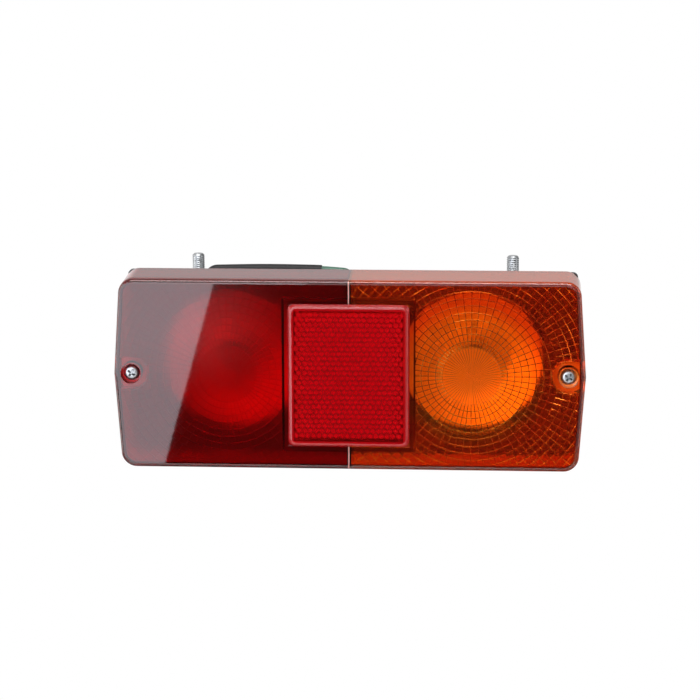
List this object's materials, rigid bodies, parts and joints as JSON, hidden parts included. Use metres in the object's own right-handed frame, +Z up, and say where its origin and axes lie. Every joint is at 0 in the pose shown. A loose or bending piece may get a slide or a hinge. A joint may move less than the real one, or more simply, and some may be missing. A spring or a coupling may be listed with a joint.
{
  "type": "tail light cluster",
  "caption": "Rectangular rear vehicle lamp with a half red, half amber ribbed lens, a raised reflex tile over the seam and a black moulded base hung from upright studs.",
  "frame": {"origin": "midway between the two studs, on the plane of the pads that meet a bracket", "axes": "+X to the right as seen from the front of the lamp, +Y from the lens to the back, +Z up along the studs"},
  "size_m": [0.2208, 0.0788, 0.0935],
  "materials": {
    "black_plastic": "moulded, satin",
    "rubber": "matt",
    "amber_lens": "clear amber, polished",
    "red_lens": "clear red, polished",
    "reflex_red": "prismatic red",
    "zinc_steel": "zinc plated",
    "bright_aluminium": "polished",
    "plain_aluminium": "plain",
    "brass": "bright",
    "bulb_glass": "clear",
    "tungsten": "drawn wire",
    "phenolic": "laminated board",
    "green_pvc": "satin",
    "black_pvc": "satin"
  },
  "bodies": {
    "root": {"base_housing": "black_plastic", "lens_gasket": "rubber", "amber_lens": "amber_lens", "red_lens": "red_lens", "reflex_reflector": "reflex_red", "lens_screws": "zinc_steel", "mounting_studs": "zinc_steel", "indicator_bowl": "bright_aluminium", "stop_tail_bowl": "bright_aluminium", "indicator_holder": "zinc_steel", "stop_tail_holder": "zinc_steel", "holder_rivets": "plain_aluminium", "indicator_bulb_cap": "brass", "stop_tail_bulb_cap": "brass", "indicator_bulb_glass": "bulb_glass", "stop_tail_bulb_glass": "bulb_glass", "indicator_filament": "tungsten", "stop_tail_filaments": "tungsten", "indicator_contact_plate": "phenolic", "stop_tail_contact_plate": "phenolic", "indicator_contact_leaf": "brass", "stop_tail_contact_leaves": "brass", "link_lead_core": "green_pvc", "link_lead_sleeving": "black_pvc", "left_lead_grommet": "rubber", "middle_lead_grommet": "rubber", "entry_grommet": "rubber"}
  },
  "joints": []
}
